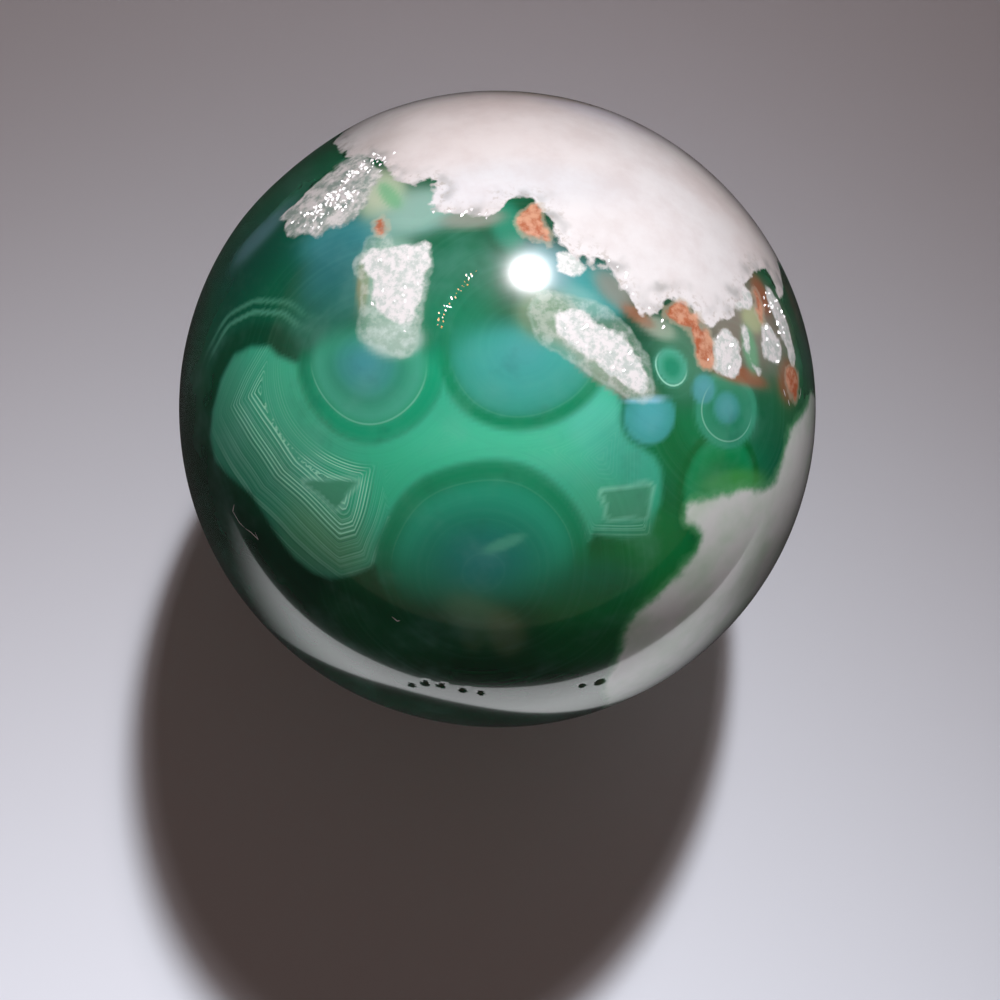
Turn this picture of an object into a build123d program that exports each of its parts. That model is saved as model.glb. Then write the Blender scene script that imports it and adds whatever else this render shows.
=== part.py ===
from build123d import *

import os
from math import cos, radians, sin

# A polished ball of flower agate, ground and lapped from one lump of chalcedony.
# The origin is the ball's centre, and +Z points up, out of the side that shows the open
# bands and the white flowers. The pitted edge of that side faces -Y.
# Sizes are in millimetres. Directions are in degrees: azimuth turns from +X towards +Y,
# and elevation rises from the XY plane.

# Overall size
ball_diameter = 60.0

# The shallow face that hand lapping left a little flatter than the rest of the ball
flat_face_curvature_radius = 46.0
flat_face_depth = 0.6
flat_face_azimuth = 130.0
flat_face_elevation = 26.0

# Open pits in the polish, low on the front: one large and a scatter of small ones
large_pit_mouth_diameter = 1.1
large_pit_depth = 0.35
large_pit_azimuth = -71.0
large_pit_elevation = 22.0

small_pit_mouth_diameter = 0.5
small_pit_depth = 0.16
small_pit_directions = [
    (-74.5, 23.0),
    (-93.5, 24.5),
    (-97.0, 25.0),
    (-101.0, 25.5),
    (-104.0, 25.0),
    (-106.5, 23.0),
]

ball_radius = ball_diameter / 2


def direction(azimuth, elevation):
    """The unit vector that points from the ball's centre at an azimuth and an elevation."""
    level = cos(radians(elevation))
    return Vector(
        level * cos(radians(azimuth)),
        level * sin(radians(azimuth)),
        sin(radians(elevation)),
    )


def sphere_at(centre, radius):
    """A solid sphere about a point."""
    return Pos(centre.X, centre.Y, centre.Z) * Sphere(radius)


def lapped_ball():
    """The ball, with the flatter face left where a larger sphere passes just below its surface."""
    towards_face = direction(flat_face_azimuth, flat_face_elevation)
    face_centre_distance = ball_radius - flat_face_depth - flat_face_curvature_radius
    face_limit = sphere_at(towards_face * face_centre_distance, flat_face_curvature_radius)
    return Sphere(ball_radius) & face_limit


def pit(azimuth, elevation, mouth_diameter, depth):
    """The round cutter for one shallow pit, whose floor lies at the depth below the polish."""
    cutter_radius = (mouth_diameter**2 / 4 + depth**2) / (2 * depth)
    centre_distance = ball_radius - depth + cutter_radius
    return sphere_at(direction(azimuth, elevation) * centre_distance, cutter_radius)


def agate_sphere():
    """The finished ball, with its pits cut."""
    ball = lapped_ball()
    ball -= pit(large_pit_azimuth, large_pit_elevation, large_pit_mouth_diameter, large_pit_depth)
    for azimuth, elevation in small_pit_directions:
        ball -= pit(azimuth, elevation, small_pit_mouth_diameter, small_pit_depth)
    return ball


os.makedirs("parts", exist_ok=True)
export_step(agate_sphere(), "parts/agate_sphere.step")
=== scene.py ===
import math

import bmesh
import bpy
import numpy as np
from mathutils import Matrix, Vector
from mathutils.bvhtree import BVHTree


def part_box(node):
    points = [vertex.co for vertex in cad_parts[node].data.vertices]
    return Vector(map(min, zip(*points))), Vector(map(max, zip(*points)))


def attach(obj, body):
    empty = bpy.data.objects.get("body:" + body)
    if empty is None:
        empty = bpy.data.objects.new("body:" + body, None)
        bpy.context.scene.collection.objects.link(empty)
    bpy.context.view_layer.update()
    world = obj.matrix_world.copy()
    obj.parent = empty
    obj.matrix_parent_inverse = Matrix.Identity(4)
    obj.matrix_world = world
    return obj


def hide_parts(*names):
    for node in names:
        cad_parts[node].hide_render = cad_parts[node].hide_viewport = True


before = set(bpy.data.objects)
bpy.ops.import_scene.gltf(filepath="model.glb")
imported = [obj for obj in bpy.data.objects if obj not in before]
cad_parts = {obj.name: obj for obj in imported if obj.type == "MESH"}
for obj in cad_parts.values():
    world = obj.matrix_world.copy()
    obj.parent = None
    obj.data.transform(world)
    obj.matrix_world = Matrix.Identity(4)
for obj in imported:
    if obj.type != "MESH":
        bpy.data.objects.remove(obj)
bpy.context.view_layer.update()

bl_info = {
    "name": "Flower Agate Sphere",
    "version": (1, 0, 0),
    "blender": (4, 5, 0),
    "location": "View3D > Sidebar > Agate",
    "description": "Grows a polished ball of flower agate, its crystal glints and a plain stage",
    "category": "Add Mesh",
}

MM = 0.001
BALL_NODE = "agate_sphere"
BALL_LOW, BALL_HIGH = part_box(BALL_NODE)
BALL_RADIUS = (BALL_HIGH.x - BALL_LOW.x) / 2


def linear(hex_colour):
    """The linear red, green, blue and alpha of an sRGB hex colour."""
    parts = [int(hex_colour[i : i + 2], 16) / 255 for i in (1, 3, 5)]
    return tuple(p / 12.92 if p <= 0.04045 else ((p + 0.055) / 1.055) ** 2.4 for p in parts) + (1.0,)


def add(tree, kind, links=None, **settings):
    """Adds a node, sets it, fills its inputs by name or number, and returns its first live output."""
    node = tree.nodes.new(kind)
    for name, value in settings.items():
        setattr(node, name, value)
    for key, value in (links or {}).items():
        named = [s for s in node.inputs if s.enabled and s.name == key]
        socket = named[0] if named else node.inputs[key]
        if isinstance(value, bpy.types.NodeSocket):
            tree.links.new(value, socket)
        else:
            socket.default_value = value
    live = [s for s in node.outputs if s.enabled]
    return live[0] if live else node


def towards(azimuth, elevation):
    """The unit vector at an azimuth from +X and an elevation, both in degrees."""
    turn, rise = math.radians(azimuth), math.radians(elevation)
    return Vector((math.cos(rise) * math.cos(turn), math.cos(rise) * math.sin(turn), math.sin(rise)))


class BallSizes(bpy.types.PropertyGroup):
    """Sizes of the lapped ball."""

    radius: bpy.props.FloatProperty(
        name="Ball Radius", description="Radius of the polished ball", default=BALL_RADIUS, unit="LENGTH"
    )
    face_curvature: bpy.props.FloatProperty(
        name="Flat Face Curvature", description="Radius of curvature of the flatter face", default=0.046,
        unit="LENGTH",
    )
    face_depth: bpy.props.FloatProperty(
        name="Flat Face Depth", description="How far the flatter face lies inside the ball",
        default=0.0006, unit="LENGTH",
    )
    ripple_height: bpy.props.FloatProperty(
        name="Ripple Height", description="Height of the waviness that hand lapping leaves",
        default=0.00012, unit="LENGTH",
    )
    pit_mouth: bpy.props.FloatProperty(
        name="Pit Mouth", description="Width of the largest pit left in the polish", default=0.0011,
        unit="LENGTH",
    )
    pit_depth: bpy.props.FloatProperty(
        name="Pit Depth", description="Depth of the largest pit", default=0.00035, unit="LENGTH"
    )
    glints: bpy.props.FloatProperty(
        name="Glints", description="Crystal faces on each square metre where they are thickest", default=6.0e6
    )
    squares: bpy.props.IntProperty(
        name="Squares Across", description="Squares across each of the six sides of the mesh", default=124
    )


class StageSettings(bpy.types.PropertyGroup):
    """Camera, lamp and floor."""

    view_elevation: bpy.props.FloatProperty(
        name="View Elevation", description="Angle of the view above the floor", default=math.radians(82),
        subtype="ANGLE",
    )
    view_distance: bpy.props.FloatProperty(
        name="View Distance", description="Distance of the camera, in ball radii", default=9.0
    )
    lamp_watts: bpy.props.FloatProperty(
        name="Lamp Power", description="Power of the lamp", default=106.0, unit="POWER"
    )
    room_lamp_watts: bpy.props.FloatProperty(
        name="Room Lamp Power", description="Power of the wider, warmer lamp", default=56.0, unit="POWER"
    )


class StoneColours(bpy.types.PropertyGroup):
    """Colours of the stone's minerals and of the paper under it."""

    body: bpy.props.FloatVectorProperty(
        name="Body", description="Green chalcedony", default=linear("#0b6440")[:3], subtype="COLOR"
    )
    cap: bpy.props.FloatVectorProperty(
        name="Cap", description="Milky quartz of the cap", default=linear("#f8f8f8")[:3], subtype="COLOR"
    )
    lobe: bpy.props.FloatVectorProperty(
        name="Lobe", description="White chalcedony of the lobe", default=linear("#f0faf4")[:3],
        subtype="COLOR",
    )
    silver: bpy.props.FloatVectorProperty(
        name="Silver Crystals", description="Clear crystal faces", default=linear("#f6f8f8")[:3],
        subtype="COLOR",
    )
    gold: bpy.props.FloatVectorProperty(
        name="Gold Crystals", description="Iron-tinted faces", default=linear("#e2b45c")[:3], subtype="COLOR"
    )
    paper: bpy.props.FloatVectorProperty(
        name="Paper", description="Paper of the floor", default=linear("#dbe1e9")[:3], subtype="COLOR"
    )


def lapped_ball_tree():
    """Geometry nodes for a cube of even squares blown into a ball, then lapped a little out of true."""
    tree = bpy.data.node_groups.new("Lapped Ball", "GeometryNodeTree")
    for name, kind in (
        ("Ball Radius", "NodeSocketFloat"),
        ("Face Curvature", "NodeSocketFloat"),
        ("Face Depth", "NodeSocketFloat"),
        ("Face Direction", "NodeSocketVector"),
        ("Ripple Height", "NodeSocketFloat"),
        ("Points Across", "NodeSocketInt"),
        ("Stone", "NodeSocketMaterial"),
    ):
        tree.interface.new_socket(name=name, in_out="INPUT", socket_type=kind)
    tree.interface.new_socket(name="Geometry", in_out="OUTPUT", socket_type="NodeSocketGeometry")
    given = tree.nodes.new("NodeGroupInput").outputs
    math_node, vector_node = "ShaderNodeMath", "ShaderNodeVectorMath"
    across = given["Points Across"]
    cube = add(
        tree,
        "GeometryNodeMeshCube",
        {"Size": (2, 2, 2), "Vertices X": across, "Vertices Y": across, "Vertices Z": across},
    )
    place = add(tree, "GeometryNodeInputPosition")
    kept = add(
        tree,
        "GeometryNodeStoreNamedAttribute",
        {"Geometry": cube, "Name": "cube_place", "Value": place},
        data_type="FLOAT_VECTOR",
        domain="POINT",
    )
    angles = add(tree, vector_node, {0: place, "Scale": math.pi / 4}, operation="SCALE")
    spread = add(tree, vector_node, {0: angles}, operation="TANGENT")
    outward = add(tree, vector_node, {0: spread}, operation="NORMALIZE")
    # The flatter face is part of a larger sphere whose centre lies behind the ball's own
    facing = add(tree, vector_node, {0: outward, 1: given["Face Direction"]}, operation="DOT_PRODUCT")
    sunk = add(tree, math_node, {0: given["Ball Radius"], 1: given["Face Depth"]}, operation="SUBTRACT")
    behind = add(tree, math_node, {0: sunk, 1: given["Face Curvature"]}, operation="SUBTRACT")
    along = add(tree, math_node, {0: behind, 1: facing}, operation="MULTIPLY")
    along_squared = add(tree, math_node, {0: along, 1: along}, operation="MULTIPLY")
    behind_squared = add(tree, math_node, {0: behind, 1: behind}, operation="MULTIPLY")
    aside_squared = add(tree, math_node, {0: behind_squared, 1: along_squared}, operation="SUBTRACT")
    curve_squared = add(
        tree, math_node, {0: given["Face Curvature"], 1: given["Face Curvature"]}, operation="MULTIPLY"
    )
    reach_squared = add(tree, math_node, {0: curve_squared, 1: aside_squared}, operation="SUBTRACT")
    reach = add(tree, math_node, {0: reach_squared}, operation="SQRT")
    face = add(tree, math_node, {0: along, 1: reach}, operation="ADD")
    lapped = add(tree, math_node, {0: given["Ball Radius"], 1: face, 2: 0.2 * MM}, operation="SMOOTH_MIN")
    swell = add(
        tree,
        "ShaderNodeTexNoise",
        {"Vector": outward, "Scale": 2.2, "Detail": 1.0, "Roughness": 0.4},
        noise_dimensions="3D",
    )
    centred = add(tree, math_node, {0: swell, 1: 0.62}, operation="SUBTRACT")
    ripple = add(tree, math_node, {0: centred, 1: given["Ripple Height"]}, operation="MULTIPLY")
    radius = add(tree, math_node, {0: lapped, 1: ripple}, operation="ADD")
    surface = add(tree, vector_node, {0: outward, "Scale": radius}, operation="SCALE")
    moved = add(tree, "GeometryNodeSetPosition", {"Geometry": kept, "Position": surface})
    real = add(tree, "GeometryNodeRealizeInstances", {"Geometry": moved})
    smooth = add(tree, "GeometryNodeSetShadeSmooth", {"Geometry": real, "Shade Smooth": True})
    finished = add(tree, "GeometryNodeSetMaterial", {"Geometry": smooth, "Material": given["Stone"]})
    add(tree, "NodeGroupOutput", {"Geometry": finished})
    return tree


def built_mesh(name, tree, settings):
    """The plain mesh that a geometry-nodes tree makes from its named settings."""
    holder = bpy.data.objects.new(name, bpy.data.meshes.new(name))
    bpy.context.scene.collection.objects.link(holder)
    modifier = holder.modifiers.new(name, "NODES")
    modifier.node_group = tree
    sockets = {item.name: item.identifier for item in tree.interface.items_tree if item.in_out == "INPUT"}
    for key, value in settings.items():
        modifier[sockets[key]] = value
    depsgraph = bpy.context.evaluated_depsgraph_get()
    evaluated = holder.evaluated_get(depsgraph)
    mesh = bpy.data.meshes.new_from_object(evaluated, preserve_all_data_layers=True, depsgraph=depsgraph)
    holder.modifiers.clear()
    holder.data = mesh
    if not mesh.polygons:
        raise RuntimeError(f"{name} came out with no faces")
    return holder


# ---------------------------------------------------------------------------------------
# The stone's pattern. Places on the polish are in millimetres from the top of the ball, as
# (to the right, to the back), unrolled so that arc lengths from the top stay true.
# ---------------------------------------------------------------------------------------

# Soft fields of body colour, laid one over another: colour, centre, half sizes, turn, strength, crispness
BODY_FIELDS = (
    ("#0f6447", (-34, 4), (14, 22), 0, 0.9, 4),
    # The greyish green over the far left edge is partly the stone's dark green and partly a painted reflection of
    # the room
    ("#3a6552", (-40, 0), (8, 24), 0, 0.8, 5),
    ("#12604a", (-24, 12), (10, 9), 0, 0.9, 5),
    ("#0d6a4a", (-20, 6), (7, 5), 0, 0.8, 4),
    ("#0b4c3c", (-27, 14), (6, 5), 30, 0.7, 5),
    ("#5d8a90", (-25.5, 16.6), (4.2, 2.0), 42, 0.8, 5),
    ("#3f9aa2", (-13.8, 12.6), (4.6, 2.6), 0, 0.9, 6),
    ("#2d7f84", (-14.6, 8.6), (3.4, 4.4), 0, 0.85, 6),
    ("#23755e", (-16.5, 4.2), (4.5, 3.0), 20, 0.6, 4),
    ("#1c7d5c", (-3.0, 7.2), (3.4, 5.2), 10, 0.95, 6),
    ("#17936c", (-4.0, 2.6), (3.6, 3.6), 0, 0.75, 5),
    ("#79bdb4", (-6.6, 14.4), (3.0, 2.2), 0, 0.9, 6),
    ("#b6d0b4", (-10.6, 16.8), (2.4, 2.0), 50, 0.9, 7),
    ("#6fbf8c", (-9.6, 17.2), (1.0, 2.2), 35, 0.8, 8),
    ("#1f9a7a", (1.0, 12.2), (1.5, 2.6), 15, 0.9, 7),
    ("#7fb7c0", (5.2, 8.0), (3.0, 2.2), -30, 0.9, 5),
    ("#45aead", (9.2, 6.6), (2.6, 2.4), -40, 0.95, 8),
    ("#8fcdc9", (7.6, 5.6), (1.8, 1.2), -30, 0.7, 6),
    ("#0a8a52", (18.5, -7.5), (6.5, 4.0), -20, 0.95, 6),
    ("#06753c", (16.8, -8.5), (1.4, 5.5), 25, 0.7, 6),
    ("#12855a", (24.5, -8.2), (4.2, 2.6), 0, 0.8, 5),
    ("#1e7952", (29.5, -3.2), (5.0, 3.4), 30, 0.85, 5),
    ("#2f7a4a", (33.5, -1.0), (4.0, 5.0), 0, 0.7, 5),
    ("#3f8f6c", (19.8, -0.6), (3.2, 1.6), 0, 0.7, 5),
    ("#059048", (15.8, -17.5), (4.6, 5.6), 30, 0.95, 5),
    ("#07843f", (9.5, -24.0), (5.0, 5.5), 20, 0.8, 5),
    ("#0c7d55", (10.5, -19.8), (3.6, 2.6), 20, 0.7, 4),
    ("#056033", (0.0, -28.5), (13.0, 5.0), 0, 0.9, 5),
    ("#04401f", (-4.0, -33.0), (18.0, 5.0), 0, 0.95, 6),
    ("#0a4428", (-20.0, -23.0), (9.0, 6.0), -35, 0.9, 5),
    ("#0b4a30", (-28.0, -16.0), (6.0, 9.0), 35, 0.85, 5),
    ("#0b6a3c", (-13.0, -22.0), (4.5, 4.5), 30, 0.8, 5),
)

# Colours laid inside the wide pale channel
CHANNEL_FIELDS = (
    ("#4fae8d", (-27.0, -3.0), (5.5, 8.0), 20, 1.0, 4),
    ("#48c49c", (-18.5, -4.0), (7.0, 5.0), -35, 1.0, 5),
    ("#3bcb9e", (-9.0, -9.4), (8.0, 3.0), 20, 1.0, 5),
    ("#4fa886", (-22.0, -10.0), (3.6, 6.5), 35, 0.7, 4),
    ("#66b98c", (-17.0, -16.0), (5.0, 3.4), -10, 0.95, 5),
    ("#52d6ae", (2.0, -7.2), (8.0, 2.2), -4, 0.95, 4),
    ("#60d6bb", (8.8, -5.2), (3.6, 2.6), -45, 0.95, 5),
    ("#46b99e", (12.0, -8.0), (3.2, 3.4), 0, 0.8, 5),
    ("#4fbf98", (9.0, -13.2), (2.8, 3.0), 0, 0.7, 5),
)

# Round growths: centre, rim radius, rim paleness, ring radius outside, and colours from the middle outwards
EYES = (
    ((-11.4, 0.2), 5.35, 0.3, 6.7, ("#4aa3a8", "#42a099", "#35a083", "#4cb596"), "#10ad80"),
    ((2.2, 1.2), 6.3, 0.05, 7.2, ("#52b3b0", "#4ab3ab", "#45b2a6", "#3cab98"), "#06986a"),
    ((-1.4, -18.7), 8.6, 0.05, 10.0, ("#1b8f8c", "#158f80", "#16997c", "#22ab88"), "#0a9a6c"),
    ((21.8, -10.6), 4.4, 0.10, 5.0, ("#028b4c", "#05924f", "#0a9a5a", "#12a064"), "#03783c"),
    ((22.2, -3.6), 3.1, 0.45, 3.7, ("#2a9c74", "#2f9e7a", "#2b9a74", "#35a07c"), "#3aa884"),
)
# Soft fields that lie over the round growths: stained and clear quartz round the flowers
OVER_FIELDS = (
    ("#a6d0bd", (-9.4, 7.0), (3.0, 5.2), 0, 0.85, 11),
    ("#cfe6de", (-8.9, 2.4), (2.5, 1.6), 0, 0.85, 11),
    ("#a9cfc0", (-7.4, 14.8), (3.4, 2.6), 0, 0.75, 7),
    ("#cfdcc0", (-10.9, 18.0), (2.0, 2.6), 35, 0.8, 7),
    ("#7cc795", (-9.8, 17.0), (0.7, 2.0), 35, 0.8, 9),
    ("#0a8042", (12.5, -19.0), (5.0, 4.5), 30, 0.8, 5),
    ("#058f49", (16.2, -18.5), (2.8, 4.6), 35, 0.8, 5),
    ("#0d7f62", (8.6, -20.4), (4.0, 2.2), 12, 0.7, 5),
    ("#067a3e", (9.0, -25.0), (5.5, 4.5), 20, 0.75, 5),
    ("#a79b62", (-12.2, 7.6), (0.6, 2.6), 0, 0.7, 8),
    ("#84a582", (4.6, 4.0), (2.6, 2.4), 0, 0.9, 8),
    ("#b7bcae", (9.0, 0.2), (5.2, 1.3), -33, 0.9, 8),
    ("#a5978a", (9.0, -1.6), (2.8, 0.45), -30, 0.6, 9),
    ("#4f9a7a", (17.0, 1.0), (2.8, 3.6), 0, 0.75, 6),
    ("#c9d6c4", (14.8, 3.6), (1.8, 0.9), -20, 0.6, 7),
    ("#a0a99c", (-2.2, 13.0), (2.8, 1.1), 0, 0.85, 8),
    ("#a5988a", (10.6, 6.9), (2.2, 1.2), -45, 0.7, 7),
    ("#b07a5e", (12.8, 4.6), (1.8, 0.6), -30, 0.75, 8),
    ("#a1988c", (25.6, 5.4), (6.6, 5.0), 10, 0.85, 6),
    ("#b36c4c", (23.6, 0.0), (3.6, 0.9), -8, 0.8, 8),
    ("#b06848", (31.6, 0.6), (2.2, 2.4), 0, 0.8, 7),
    ("#b0633f", (27.6, 9.2), (1.3, 2.2), 20, 0.7, 7),
    ("#c4cfa2", (25.8, 5.9), (1.5, 1.4), 0, 0.85, 8),
    ("#7fc49a", (25.2, 2.6), (1.0, 2.2), 10, 0.8, 8),
    ("#3c5a4a", (38.2, 8.5), (3.2, 9.5), 12, 0.85, 6),
    ("#7a5a48", (35.8, 11.0), (0.8, 3.6), 20, 0.6, 7),
)
# Small round growths sitting over the others: centre, radius, rim paleness, middle colour, edge colour
BEADS = (
    ((15.7, 0.1), 1.62, 0.9, "#27a07c", "#5fbfa4"),
    ((13.5, -4.3), 2.55, 0.12, "#58bcc0", "#46b0aa"),
    ((19.3, -1.7), 1.35, 0.10, "#62b6bc", "#58b0ae"),
    ((22.1, -3.4), 1.55, 0.10, "#5ab4b6", "#4aa9a0"),
)

CHANNEL = (
    (-26.6, 3.3), (-30.9, -2.0), (-30.6, -7.6), (-25.4, -11.8), (-20.8, -18.2), (-16.8, -20.0),
    (-12.0, -18.3), (-9.0, -17.0), (8.2, -16.4), (9.0, -15.6), (14.9, -15.6), (15.0, -9.0), (13.4, -7.2),
    (11.4, -5.2), (10.6, -2.6), (8.3, -1.0), (-3.3, -1.2), (-18.0, 0.6), (-21.5, 3.2),
)
# Straight walls the left nest of bands grew from: start, end, and how many millimetres of growth make 1
WALLS = (
    ((-26.5, 3.2), (-30.8, -2.0), 5.6),
    ((-30.8, -2.0), (-30.6, -7.6), 6.4),
    ((-30.6, -7.6), (-25.3, -11.8), 7.4),
    ((-25.3, -11.8), (-20.8, -18.2), 8.2),
    ((-20.8, -18.2), (-17.0, -20.0), 8.0),
    ((-17.0, -20.0), (-12.0, -18.2), 7.4),
    ((-12.0, -18.2), (-10.0, -13.4), 5.0),
)

CAP = (
    (-18.8, 30.0), (-16.4, 25.5), (-13.4, 23.4), (-11.2, 20.9), (-8.2, 18.3), (-5.9, 17.9), (-5.8, 15.4),
    (-4.6, 13.7), (-2.2, 13.0), (0.3, 13.6), (1.0, 15.2), (2.6, 14.9), (4.6, 13.4), (5.4, 10.8),
    (7.2, 9.5), (9.2, 9.3), (11.2, 7.2), (12.4, 4.8), (14.0, 4.6), (15.8, 6.2), (17.8, 5.9), (20.0, 3.9),
    (22.0, 5.0), (24.0, 6.8), (25.2, 9.2), (27.0, 11.6), (29.6, 13.4), (31.6, 10.4), (33.6, 12.8),
    (35.2, 16.0), (38.0, 22.0), (36.0, 32.0), (26.0, 40.0), (12.0, 44.0), (2.0, 44.0), (-12.0, 43.0),
    (-21.0, 37.0),
)
LOBE = (
    (35.2, -2.6), (33.0, -4.2), (31.4, -6.0), (30.6, -8.6), (29.3, -10.6), (26.0, -11.2), (22.8, -11.6),
    (19.8, -12.0), (18.3, -12.9), (18.7, -14.6), (20.2, -15.7), (19.6, -17.3), (17.8, -19.4), (15.4, -22.4),
    (13.4, -24.8), (12.4, -27.5), (12.6, -31.5), (13.0, -38.0), (20.0, -50.0), (36.0, -50.0), (50.0, -32.0),
    (52.0, -12.0), (46.0, -2.0), (40.0, 1.0),
)
HEARTS = (
    (
        (-11.9, 10.6), (-9.0, 11.0), (-5.8, 10.3), (-6.2, 6.4), (-7.0, 4.0), (-8.6, 3.4), (-10.6, 4.6),
        (-11.6, 7.6),
    ),
    (
        (5.2, 4.2), (6.8, 4.9), (9.0, 4.0), (11.6, 2.3), (12.9, 0.2), (12.9, -2.2), (11.4, -2.2),
        (9.0, -0.5), (6.0, 1.4),
    ),
    ((20.3, 2.8), (21.8, 4.2), (23.6, 3.2), (23.9, 0.6), (22.3, -0.6), (20.6, 0.3)),
    ((26.8, 5.4), (28.9, 6.1), (30.3, 3.9), (29.3, 1.8), (27.2, 2.4)),
    ((28.6, 10.8), (30.8, 10.0), (32.8, 6.2), (33.4, 2.8), (32.2, 2.2), (30.6, 5.2), (29.2, 8.0)),
    ((22.6, 8.4), (24.6, 9.8), (26.4, 8.4), (25.6, 6.8), (23.4, 6.2)),
    ((24.2, 4.6), (24.9, 4.9), (25.4, 2.0), (26.6, 0.9), (26.0, 0.2), (24.8, 1.4)),
    ((5.4, 10.2), (7.4, 10.0), (7.6, 8.4), (5.8, 8.2)),
)
GLASS = (
    (
        (-11.8, 12.6), (-9.3, 12.4), (-8.4, 10.9), (-5.4, 10.0), (-5.9, 5.4), (-6.5, 2.8), (-6.8, 1.2),
        (-8.3, 0.5), (-10.2, 1.5), (-12.2, 1.7), (-12.8, 3.2), (-12.5, 5.9), (-13.2, 9.8), (-12.2, 10.8),
    ),
    (
        (2.8, 4.6), (4.0, 6.1), (7.1, 6.4), (10.7, 4.7), (13.0, 2.1), (13.8, -0.6), (13.5, -3.2),
        (10.6, -2.8), (6.6, -0.6), (4.0, 0.8), (2.9, 2.5),
    ),
)
DRUSE = (
    ((-23.2, 18.4), (-20.2, 14.4), (-16.0, 13.8), (-12.8, 14.9), (-11.4, 18.0), (-11.4, 21.0), (-15.7, 24.8),
     (-19.7, 21.0)),
)
RUST = (
    ((2.1, 12.5), (2.8, 14.3), (4.0, 14.6), (4.3, 13.1), (5.2, 11.2), (4.9, 9.8), (4.1, 10.9), (2.6, 11.2)),
    ((15.9, 5.4), (17.7, 5.9), (19.3, 4.4), (20.6, 2.6), (20.1, 0.6), (19.0, 0.4), (17.9, 2.7), (16.4, 4.0)),
    ((26.0, 9.6), (27.2, 10.0), (27.8, 7.6), (27.2, 5.8), (26.4, 6.6)),
    ((31.0, 1.8), (33.6, 2.4), (34.2, -1.0), (32.4, -1.4)),
    ((-10.8, 14.2), (-10.2, 14.3), (-9.9, 12.6), (-10.6, 12.5)),
)

# Round growths on the side away from the camera: (azimuth, elevation), radius in mm
UNDER_EYES = (
    ((152, -12), 8.0), ((196, 6), 6.2), ((184, -40), 7.4), ((236, -20), 8.6), ((222, 22), 4.6),
    ((268, -46), 7.0), ((128, -48), 6.4), ((310, -62), 7.6), ((60, -66), 8.2), ((210, -66), 5.6),
    ((20, -42), 5.2), ((285, -14), 5.4),
)
VIEWED_SIDE = np.array((0.0, -0.139, 0.990))
WHITE_FIELDS = (
    ("#f3ebe8", (-4.0, 26.0), (11.0, 7.0), 10, 0.8, 4),
    ("#f1e4e1", (2.0, 33.0), (9.0, 4.0), 0, 0.7, 4),
    ("#f2f1fd", (12.0, 32.5), (7.0, 3.2), -25, 0.85, 5),
    ("#f8f1ef", (12.0, 22.0), (12.0, 6.0), -30, 0.6, 4),
    ("#fdfcfd", (21.0, 16.0), (9.0, 6.0), -50, 0.8, 4),
    ("#f8edea", (27.0, 20.0), (5.0, 9.0), 40, 0.6, 4),
    ("#eff4f8", (3.0, 17.4), (9.0, 2.8), 0, 0.8, 5),
    ("#f6f9fd", (-2.4, 16.2), (3.6, 1.7), 0, 0.9, 7),
    ("#d9cfc2", (8.0, 37.6), (8.0, 2.4), 0, 0.85, 6),
    ("#e7e2de", (-13.0, 25.0), (4.0, 3.0), 20, 0.6, 4),
)


def drift(points, size, seed):
    """A smooth wandering value between about -1 and 1 that changes over the given size."""
    waves = np.random.RandomState(seed)
    total = np.zeros(len(points))
    for _ in range(7):
        axis = waves.normal(size=3)
        axis /= np.linalg.norm(axis)
        pace = 2 * np.pi / (size * waves.uniform(0.8, 2.2))
        total += np.sin(points @ axis * pace + waves.uniform(0, 6.3))
    return total / 3.2


def ramp(value, low, high):
    """0 below low, 1 above high, eased between."""
    share = np.clip((value - low) / (high - low), 0, 1)
    return share * share * (3 - 2 * share)


def field_weight(place, centre, halves, turn, strength, crispness):
    """How strongly a soft oval field covers each place."""
    cosine, sine = math.cos(math.radians(turn)), math.sin(math.radians(turn))
    x, y = place[:, 0] - centre[0], place[:, 1] - centre[1]
    along, aside = x * cosine + y * sine, y * cosine - x * sine
    away = np.hypot(along / halves[0], aside / halves[1])
    return strength / (1 + np.exp((away - 1) * crispness))


def lay(colour, tint, weight):
    """Lays a hex colour over each row of colours by weight."""
    weight = np.asarray(weight)[:, None]
    return colour * (1 - weight) + np.array(linear(tint)[:3]) * weight


def depth_inside(place, outline, rounded=3):
    """How far each place lies inside a rounded outline, in millimetres; outside is negative."""
    corners = np.array(outline, float)
    before, after, further = np.roll(corners, 1, 0), np.roll(corners, -1, 0), np.roll(corners, -2, 0)
    points = []
    for step in range(rounded):
        t = step / rounded
        points.append(
            (
                0.5
                * (
                    2 * corners
                    + (after - before) * t
                    + (2 * before - 5 * corners + 4 * after - further) * t ** 2
                    + (3 * corners - before - 3 * after + further) * t ** 3
                )
            ),
        )
    ring = np.stack(points, 1).reshape(-1, 2)
    nearest = np.full(len(place), 1e9)
    inside = np.zeros(len(place), bool)
    x, y = place[:, 0], place[:, 1]
    for (ax, ay), (bx, by) in zip(ring, np.roll(ring, -1, 0)):
        dx, dy = bx - ax, by - ay
        share = np.clip(((x - ax) * dx + (y - ay) * dy) / (dx * dx + dy * dy), 0, 1)
        nearest = np.minimum(nearest, np.hypot(x - ax - share * dx, y - ay - share * dy))
        if ay != by:
            crosses = (ay > y) != (by > y)
            inside ^= crosses & (x < ax + (y - ay) / (by - ay) * dx)
    return np.where(inside, nearest, -nearest)


def deepest(place, outlines):
    """How far each place lies inside the nearest of several outlines."""
    return np.max([depth_inside(place, outline) for outline in outlines], axis=0)


def wall_growth(place, start, end, reach):
    """Growth away from a straight wall, to the left of the way from start to end."""
    along = np.array(end, float) - np.array(start, float)
    inward = np.array((-along[1], along[0])) / np.hypot(*along)
    return (place - np.array(start)) @ inward / reach


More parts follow.
